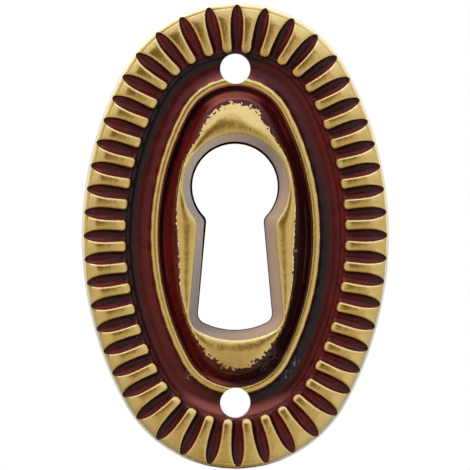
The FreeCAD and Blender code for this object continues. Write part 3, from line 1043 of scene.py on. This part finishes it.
@dataclass
class FluteTree:
    """The Geometry Nodes tree that sinks every flute and rounds every rib's edge."""

    border: Border

    def _build(self) -> bpy.types.NodeTree:
        """Build the tree, with its sizes as named inputs.

        Returns:
            The tree.
        """
        tree = bpy.data.node_groups.new("cut_flutes", "GeometryNodeTree")
        for name, way, kind in (("Geometry", "INPUT", "Geometry"),
                                ("Edge Rounding", "INPUT", "Float"),
                                ("Metres Per Unit", "INPUT", "Float"),
                                ("Material", "INPUT", "Material"),
                                ("Geometry", "OUTPUT", "Geometry")):
            tree.interface.new_socket(name, in_out=way, socket_type=f"NodeSocket{kind}")
        add = partial(add_node, tree)
        source = add("NodeGroupInput").outputs
        across, inset, depth, drop = (
            add("GeometryNodeInputNamedAttribute", name, data_type="FLOAT")
            for name in ("flute_across", "rib_inset", "flute_depth", "edge_drop"))
        # Across a flute the floor is a half ellipse between the ribs' edges.
        inner = add(MATH, across, 1.0, operation="MINIMUM")
        squared = add(MATH, inner, inner, operation="MULTIPLY")
        arch = add(MATH, add(MATH, 1.0, squared, operation="SUBTRACT"), operation="SQRT")
        below = add(MATH, depth, drop, operation="SUBTRACT")
        sunk = add(MATH, arch, below, drop, operation="MULTIPLY_ADD")
        sunk = add(MATH, sunk, 0.0, operation="MAXIMUM")
        # On a rib the top falls off towards its edge.
        edge = add(MATH, inset, source["Edge Rounding"], operation="DIVIDE")
        edge = add(MATH, 1.0, edge, operation="SUBTRACT", use_clamp=True)
        worn = add(MATH, add(MATH, edge, edge, operation="MULTIPLY"), drop, operation="MULTIPLY")
        on_rib = add(MATH, across, 1.5, operation="GREATER_THAN")
        total = add(MIX, on_rib, sunk, worn)
        metres = add(MATH, total, source["Metres Per Unit"], operation="MULTIPLY")
        shift = add("ShaderNodeCombineXYZ", None, metres)
        moved = add("GeometryNodeSetPosition", source["Geometry"], None, None, shift)
        real = add("GeometryNodeRealizeInstances", moved)
        dressed = add("GeometryNodeSetMaterial", real, None, source["Material"])
        add("NodeGroupOutput", dressed)
        return tree

    def apply(self, piece: bpy.types.Object) -> None:
        """Run the tree on the plate and keep its result as a plain mesh.

        Args:
            piece: The plate before its flutes.
        """
        modifier = piece.modifiers.new("flutes", "NODES")
        modifier.node_group = self._build()
        values = {"Edge Rounding": self.border.rib_rounding, "Metres Per Unit": MM,
                  "Material": AgedBrass().build()}
        for item in modifier.node_group.interface.items_tree:
            if item.in_out == "INPUT" and item.name in values:
                modifier[item.identifier] = values[item.name]
        keep_result(piece, modifier)


@dataclass(frozen=True)
class Tone:
    """A colour painted onto the finish where its surface faces a given way, as painted light or
    shade.
    """

    colour: str
    way: tuple[float, float, float]
    starts: float
    full: float


@dataclass(frozen=True)
class AgedBrass:
    """Cast brass with a dark lacquered patina, rubbed back to metal on the raised forms.

    The rubbed metal gives satin highlights that bend with the form. The patina lies thick in
    the hollows and gives a deep red-brown gloss over near black. The keyhole's wall is dull
    and scraped, and the back is raw and matt. Light and shade are also painted into the
    colour. There is painted shade on the patina's slopes that face down and right, on the
    outline's lower edge, and in a dark line at the back of the keyhole's wall, which also
    darkens towards its back. There are painted highlights on the patina's slopes that face
    up. There are painted reflections in a pale band along the outline's edge, in a pale tone
    on the wall round the opening's left, and in a few speckled patches low on the patina.
    """

    brass: str = "F8E3AA"
    brass_deep: str = "F2DA9C"
    brass_raw: str = "AD925E"
    # A pale colour that paints the reflection along the outline's edge.
    edge_reflection_colour: str = "C8C4B6"
    # Painted shade where the edge faces down, on the outline's lower edge.
    lower_edge_shade: Tone = Tone("4A3418", (0.0, -0.25, -0.97), 0.88, 0.94)
    patina: str = "521113"
    patina_dark: str = "420E12"
    patina_sheen: str = "CCD2F0"
    # Painted shade and highlight: the patina turns blue-black on the slopes that face down and to
    # the right, and mauve on the slopes that face up.
    slope_shade: Tone = Tone("2E151F", (0.6, -0.5, -0.62), 0.58, 0.84)
    slope_highlight: Tone = Tone("905860", (-0.05, -0.45, 0.89), 0.74, 0.97)
    # Painted shade on the channel's slopes that face down and right, and a painted highlight on its
    # up-facing slopes near the bottom.
    channel_slope_shade: Tone = Tone("16171F", (0.6, -0.5, -0.62), 0.52, 0.74)
    channel_foot_highlight: Tone = Tone("905860", (0.0, -0.8, 0.6), 0.7, 0.95)
    foot_start: float = -14.8
    foot_full: float = -16.5
    wall_colour: str = "887563"
    wall_rubbed: str = "947C57"
    # Painted shade, mixed in towards the back of the keyhole's wall.
    wall_shade_colour: str = "6A5040"
    # Painted reflection on the wall round the opening's left.
    wall_reflection_colour: str = "E0D6CA"
    # Painted shade: the dark line at the back of the keyhole's wall.
    shade_line_colour: str = "241210"
    # Across, up and radius of each speckled patch of painted reflection.
    reflection_speck_colour: str = "8A8CA0"
    reflection_speck_places: tuple[tuple[float, float, float], ...] = (
        (5.0, -13.6, 0.5), (5.7, -12.3, 0.5), (3.6, -11.5, 0.8), (-4.5, -13.5, 0.5),
        (2.9, -12.5, 0.7))
    # Across, up, radius and change: below zero patina is left, above zero it is rubbed through.
    flaws: tuple[tuple[float, float, float, float], ...] = (
        (13.0, 2.5, 0.18, -0.7), (12.7, 0.3, 0.22, -0.7), (7.85, -16.5, 0.25, -0.7),
        (-9.6, -9.85, 0.1, 0.9), (5.85, -1.45, 0.2, 0.9), (-5.75, 1.2, 0.16, 0.7),
        (3.1, 11.35, 0.9, -0.5))
    # Where each colour's mottle starts and ends, as values of the noise.
    patina_mottle: tuple[float, float] = (0.35, 0.65)
    brass_mottle: tuple[float, float] = (0.3, 0.7)
    wall_mottle: tuple[float, float] = (0.42, 0.7)
    # How far inside the outline the inner tones start and are full.
    inner_mm: tuple[float, float] = (4.0, 8.0)
    mottle_mm: float = 0.9
    torn_mm: float = 0.3
    grit_mm: float = 0.12
    bump_mm: float = 0.05
    grit_share: float = 0.08
    grain_roughness: float = 0.55
    patina_gloss: float = 0.6
    patina_roughness: float = 0.28
    brass_roughness: float = 0.23
    dull_growth: float = 0.2
    grit_roughness: float = 0.12

    def build(self) -> bpy.types.Material:
        """Build the material.

        Returns:
            The node material for the whole casting.
        """
        material = bpy.data.materials.new(MATERIAL_NAME)
        material.use_nodes = True
        tree = material.node_tree
        tree.nodes.clear()
        add = partial(add_node, tree)
        place = add("ShaderNodeTexCoord").outputs
        spot = place["Object"]
        mark = {name: add("ShaderNodeAttribute", attribute_name=name).outputs["Fac"]
                for name in ("bare_mm", "ragged_mm", "wall", "shade_line_mm", "outer_mm",
                             "edge_share", "channel", "back", "wall_reflection_share")}
        mottle, torn, fine, speckle = (
            add(NOISE, spot, 1 / (size * MM), detail, self.grain_roughness)
            for size, detail in ((self.mottle_mm, 3.0), (self.torn_mm, 1.2),
                                 (self.grit_mm, 2.0), (self.torn_mm, 3.0)))
        bare = self._bare(add, spot, mark, torn, fine)
        wall = add(MAP_RANGE, mark["wall"], 0.2, 0.8, **SOFT)
        position = add("ShaderNodeSeparateXYZ", spot).outputs
        height = add(MATH, position["Y"], -1 / MM, operation="MULTIPLY")
        # Painted shade: a dark line along the back edge of the keyhole's wall.
        below = add(MATH, mark["shade_line_mm"], height, operation="SUBTRACT")
        back_edge_shade = add(MAP_RANGE, below, -0.05, 0.1, **SOFT)
        line = add(MATH, wall, back_edge_shade, operation="MULTIPLY")

        clouds, patches, scrapes = (
            add(MAP_RANGE, mottle, *ends, **SOFT)
            for ends in (self.patina_mottle, self.brass_mottle, self.wall_mottle))
        patina = add(MIX, clouds, self.patina_dark, self.patina, **COLOURS)
        inner = add(MAP_RANGE, mark["outer_mm"], *self.inner_mm, **SOFT)
        slope_highlight = add(MAP_RANGE, mark["outer_mm"], *self.inner_mm, 0.2, 0.85, **SOFT)
        low = add(MAP_RANGE, position["Z"], self.foot_start * MM, self.foot_full * MM,
                  0.0, 0.8, **SOFT)
        # Painted shade and highlights: each tone darkens or lightens the patina by which way its
        # surface faces.
        for tone, share in (
            (self.slope_shade, 0.88),
            (self.slope_highlight, slope_highlight),
            (self.channel_slope_shade, add(MATH, mark["channel"], 0.8, operation="MULTIPLY")),
            (self.channel_foot_highlight, add(MATH, inner, low, operation="MULTIPLY")),
        ):
            patina = self._toned(add, place["Normal"], tone, share, patina)
        # Painted reflection: speckled pale patches on the patina low on the plate.
        flecks = add(MAP_RANGE, speckle, 0.5, 0.62, **SOFT)
        for x_mm, z_mm, reach_mm in self.reflection_speck_places:
            near = self._near(add, spot, (x_mm, z_mm), (0.2, reach_mm * 1.5), 1.0)
            amount = add(MATH, near, flecks, operation="MULTIPLY")
            patina = add(MIX, amount, patina, self.reflection_speck_colour, **COLOURS)

        edge_zone = add(MAP_RANGE, mark["edge_share"], 0.2, 1.0, **SOFT)
        off_edge = add(MATH, 1.0, edge_zone, operation="SUBTRACT")
        brass = add(MIX, patches, self.brass_deep, self.brass, **COLOURS)
        # Painted reflection: the brass turns pale in a band along the outline's edge.
        brass = add(MIX, edge_zone, self.edge_reflection_colour, brass, **COLOURS)
        # Painted shade: the pale edge band is darkened where it faces down, along the outline's
        # lower edge.
        brass = self._toned(add, place["Normal"], self.lower_edge_shade, off_edge, brass)
        brass = add(MIX, mark["back"], brass, self.brass_raw, **COLOURS)

        scraped_and_painted_light = add(MIX, scrapes, self.wall_colour, self.wall_rubbed, **COLOURS)
        # Painted shade: the keyhole's wall darkens towards its back.
        deep = add(MAP_RANGE, height, 0.2, 2.4, 0.5, 0.0, **SOFT)
        # The scraped wall gets painted shade towards its back and a painted reflection on its left.
        for amount, tone in ((deep, self.wall_shade_colour), (mark["wall_reflection_share"], self.wall_reflection_colour)):
            scraped_and_painted_light = add(MIX, amount, scraped_and_painted_light, tone, **COLOURS)
        colour = add(MIX, bare, patina, brass, **COLOURS)
        # The keyhole's wall takes its colour, then the painted shade line goes over it.
        for amount, tone in ((wall, scraped_and_painted_light), (line, self.shade_line_colour)):
            colour = add(MIX, amount, colour, tone, **COLOURS)

        off_wall = add(MATH, 1.0, wall, operation="SUBTRACT")
        metal = add(MATH, bare, off_wall, operation="MULTIPLY")
        rough = self.patina_roughness - self.grit_roughness / 2
        for amount, growth in ((metal, self.brass_roughness - self.patina_roughness),
                               (wall, self.dull_growth), (mark["back"], self.dull_growth),
                               (fine, self.grit_roughness)):
            rough = add(MATH, amount, growth, rough, operation="MULTIPLY_ADD")
        # The painted shade line has no gloss.
        gloss = add(MATH, line, -self.patina_gloss, self.patina_gloss, operation="MULTIPLY_ADD")
        relief = add(MATH, fine, self.grit_share, mottle, operation="MULTIPLY_ADD")
        bump = add("ShaderNodeBump", inputs={"Height": relief, "Strength": 1.0,
                                             "Distance": self.bump_mm * MM})
        shader = add("ShaderNodeBsdfPrincipled", inputs={
            "Base Color": colour, "Metallic": metal, "Roughness": rough, "Normal": bump,
            "Specular Tint": add(MIX, metal, self.patina_sheen, "FFFFFF", **COLOURS),
            "Specular IOR Level": gloss})
        add("ShaderNodeOutputMaterial", shader)
        return material

    def _bare(self, add: Callable, spot: bpy.types.NodeSocket,
              mark: dict[str, bpy.types.NodeSocket], torn: bpy.types.Node,
              fine: bpy.types.Node) -> bpy.types.Node:
        """Find where the metal is bare, with a ragged edge, a few specks and a few dark nicks.

        Args:
            add: Adds a node to the tree.
            spot: The object's coordinates.
            mark: The plate's marks.
            torn: Noise that tears the edge.
            fine: Noise that breaks up the flaws.

        Returns:
            The node that gives 1 on bare metal and 0 on patina.
        """
        torn = add(MATH, torn, 2.4, -1.2, operation="MULTIPLY_ADD")
        edge = add(MATH, torn, mark["ragged_mm"], mark["bare_mm"], operation="MULTIPLY_ADD")
        broken = add(MATH, 0.5, fine, operation="ADD")
        for x_mm, z_mm, radius_mm, change in self.flaws:
            near = self._near(add, spot, (x_mm, z_mm), (radius_mm * 0.3, radius_mm), change)
            edge = add(MATH, near, broken, edge, operation="MULTIPLY_ADD")
        return add(MAP_RANGE, edge, -0.02, 0.03, **SOFT)

    def _near(self, add: Callable, spot: bpy.types.NodeSocket, centre: tuple[float, float],
              reach: tuple[float, float], most: float) -> bpy.types.Node:
        """Fade a value out round a place on the front.

        Args:
            add: Adds a node to the tree.
            spot: The object's coordinates.
            centre: The place's distances across and up.
            reach: Where the value starts to fade, and where it is gone.
            most: The value at the centre.

        Returns:
            The node that gives the value.
        """
        flat = add(VECTOR_MATH, spot, (1, 0, 1), operation="MULTIPLY")
        middle = (centre[0] * MM, 0, centre[1] * MM)
        away = add(VECTOR_MATH, flat, middle, operation="DISTANCE")
        return add(MAP_RANGE, away, reach[0] * MM, reach[1] * MM, most, 0.0, **SOFT)

    def _toned(self, add: Callable, normal: bpy.types.NodeSocket, tone: Tone, share: object,
               colour: bpy.types.Node) -> bpy.types.Node:
        """Mix a tone of painted light or shade into a colour where the surface faces the tone's way.

        Args:
            add: Adds a node to the tree.
            normal: The object's own normal.
            tone: The tone.
            share: The most that the tone takes, as a number or a node.
            colour: The colour so far.

        Returns:
            The node that gives the mixed colour.
        """
        facing = add(VECTOR_MATH, normal, tone.way, operation="DOT_PRODUCT")
        amount = add(MAP_RANGE, facing, tone.starts, tone.full, **SOFT)
        amount = add(MATH, amount, share, operation="MULTIPLY")
        return add(MIX, amount, colour, tone.colour, **COLOURS)


@dataclass(frozen=True)
class Glow:
    """A soft bright part of the room, seen in the metal from one direction."""

    toward: tuple[float, float, float]
    starts: float
    full: float
    level: float


@dataclass(frozen=True)
class Lamp:
    """A soft square lamp that faces the plate, with its place in metres."""

    name: str
    place: tuple[float, float, float]
    power: float
    colour: str
    size: float = 0.3

    def add(self) -> None:
        """Add the lamp, which the metal doesn't mirror."""
        data = bpy.data.lights.new(self.name, "AREA")
        data.size = self.size
        data.energy = self.power
        data.color = linear(self.colour)[:3]
        lamp = add_object(self.name, data)
        lamp.location = self.place
        lamp.rotation_euler = (-Vector(self.place)).to_track_quat("-Z", "Y").to_euler()
        lamp.visible_glossy = False


@dataclass
class Studio:
    """A plain soft studio: a pale floor, two soft lamps and a pale room with a dim front."""

    distance: float = 0.5
    from_left: float = math.radians(1.8)
    from_above: float = math.radians(0.3)
    frame_mm: float = 45.82
    aim_mm: tuple[float, float, float] = (-0.057, -2.0, 0.078)
    sensor: float = 36.0
    lamps: tuple[Lamp, ...] = (
        Lamp("key", (-0.36, -0.3, 0.42), 5.0, "FFE0B4"),
        Lamp("fill", (0.45, -0.35, -0.15), 0.4, "E2ECFF"))
    ambient: str = "4A4A52"
    room_level: float = 0.57
    room_slope: float = 0.36
    room_curve: float = 0.1
    warmth: float = 0.27
    # The light overhead, a skylight behind on the left, and a pale card low on each side.
    glows: tuple[Glow, ...] = (
        Glow((0.0, 0.0, 1.0), 0.82, 0.95, 0.2), Glow((-0.45, 0.35, 0.82), 0.78, 0.95, 0.7),
        Glow((0.57, -0.6, -0.57), 0.8, 0.97, 0.22), Glow((-0.57, -0.6, -0.57), 0.8, 0.97, 0.12))
    behind_level: float = 0.6
    dim_left: float = math.radians(12.0)
    dim_above: float = math.radians(14.0)
    dim_core: float = math.radians(10.0)
    dim_edge: float = math.radians(25.5)
    dim_level: float = 0.145
    floor_drop_mm: float = 32.0
    floor_radius_mm: float = 115.0
    floor_sides: int = 96
    floor_colour: str = "EDEDEC"
    floor_roughness: float = 0.9

    def place_camera(self) -> None:
        """Place the camera in front of the plate, as in the photograph."""
        data = bpy.data.cameras.new("camera")
        data.sensor_width = self.sensor
        data.lens = self.sensor * self.distance / (self.frame_mm * MM)
        data.clip_start = 0.01
        camera = add_object("camera", data)
        back = Vector((
            -math.sin(self.from_left) * math.cos(self.from_above),
            -math.cos(self.from_left) * math.cos(self.from_above),
            math.sin(self.from_above),
        ))
        camera.location = Vector(self.aim_mm) * MM + back * self.distance
        camera.rotation_euler = (-back).to_track_quat("-Z", "Y").to_euler()
        bpy.context.scene.camera = camera

    def light(self) -> None:
        """Add the lamps and the room's own light."""
        for lamp in self.lamps:
            lamp.add()
        world = bpy.data.worlds.new("room")
        world.use_nodes = True
        bpy.context.scene.world = world
        world.node_tree.nodes.clear()
        add = partial(add_node, world.node_tree)
        level = self._room_level(add)
        # Dim parts of the room are warm and bright parts white.
        bounded = add(MATH, level, 1.0, operation="MINIMUM")
        tint = add(MATH, bounded, self.warmth, operation="POWER")
        green, blue = (add(MATH, level, part, operation="MULTIPLY") for part in (tint, bounded))
        room = add("ShaderNodeCombineColor", level, green, blue)
        paths = add("ShaderNodeLightPath").outputs
        mirrored = add(MATH, paths["Is Glossy Ray"], paths["Is Transmission Ray"],
                       operation="MAXIMUM")
        lit = add(MIX, mirrored, self.ambient, room, **COLOURS)
        shown = add(MIX, paths["Is Camera Ray"], lit, "FFFFFF", **COLOURS)
        add("ShaderNodeOutputWorld", add("ShaderNodeBackground", shown, 1.0))

    def _room_level(self, add: Callable) -> bpy.types.Node:
        """Build the brightness of the room by direction.

        Args:
            add: Adds a node to the world's tree.

        Returns:
            The node that gives the brightness.
        """
        direction = add("ShaderNodeTexCoord").outputs["Generated"]
        parts = add("ShaderNodeSeparateXYZ", direction).outputs
        # The room is brighter above than below.
        lift = add(MATH, parts["Z"], self.room_slope, self.room_level, operation="MULTIPLY_ADD")
        rise = add(MATH, parts["Z"], parts["Z"], operation="MULTIPLY")
        lift = add(MATH, rise, self.room_curve, lift, operation="MULTIPLY_ADD")
        # The white wall behind the plate shows only in its rounded outer edge.
        behind = add(MAP_RANGE, parts["Y"], -0.25, 0.1, 0.0, self.behind_level, **SOFT)
        above = add(MAP_RANGE, parts["Z"], -0.97, -0.88, **SOFT)
        lift = add(MATH, behind, above, lift, operation="MULTIPLY_ADD")
        for glow in self.glows:
            toward = Vector(glow.toward).normalized()
            facing = add(VECTOR_MATH, direction, toward, operation="DOT_PRODUCT")
            bright = add(MAP_RANGE, facing, glow.starts, glow.full, 0.0, glow.level, **SOFT)
            lift = add(MATH, lift, bright, operation="ADD")
        # A dim patch stands in the upper left of the camera's side.
        centre = Vector((-math.sin(self.dim_left), -math.cos(self.dim_left),
                         math.tan(self.dim_above))).normalized()
        facing = add(VECTOR_MATH, direction, centre, operation="DOT_PRODUCT")
        away = add(MAP_RANGE, facing, math.cos(self.dim_core), math.cos(self.dim_edge))
        return add(MIX, away, self.dim_level, lift)

    def lay_floor(self) -> None:
        """Lay a pale round floor below the plate, out of the photograph's frame."""
        mesh = bpy.data.meshes.new("floor")
        turns = [FULL_TURN * k / self.floor_sides for k in range(self.floor_sides)]
        radius = self.floor_radius_mm * MM
        points = [(radius * math.cos(t), radius * math.sin(t), -self.floor_drop_mm * MM)
                  for t in turns]
        mesh.from_pydata(points, [], [tuple(range(self.floor_sides))])
        floor = add_object("floor", mesh)
        # Matt white paper gives a soft shadow and no mirror.
        material = bpy.data.materials.new("matt white paper")
        material.use_nodes = True
        shader = material.node_tree.nodes["Principled BSDF"]
        shader.inputs["Base Color"].default_value = linear(self.floor_colour)
        shader.inputs["Roughness"].default_value = self.floor_roughness
        mesh.materials.append(material)
        floor.visible_glossy = False


def main() -> None:
    """Build the plate and its studio, and tie the plate to the frame."""
    logging.basicConfig(level=logging.INFO, format="%(name)s: %(message)s")
    bpy.context.scene.view_settings.view_transform = "Standard"
    studio = Studio()
    studio.place_camera()
    studio.light()
    studio.lay_floor()
    piece = PlateBuilder().build()
    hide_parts(NODE_NAME)
    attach(piece, "root")
    LOG.info("%s: %d faces", piece.name, len(piece.data.polygons))


if __name__ == "__main__":
    main()
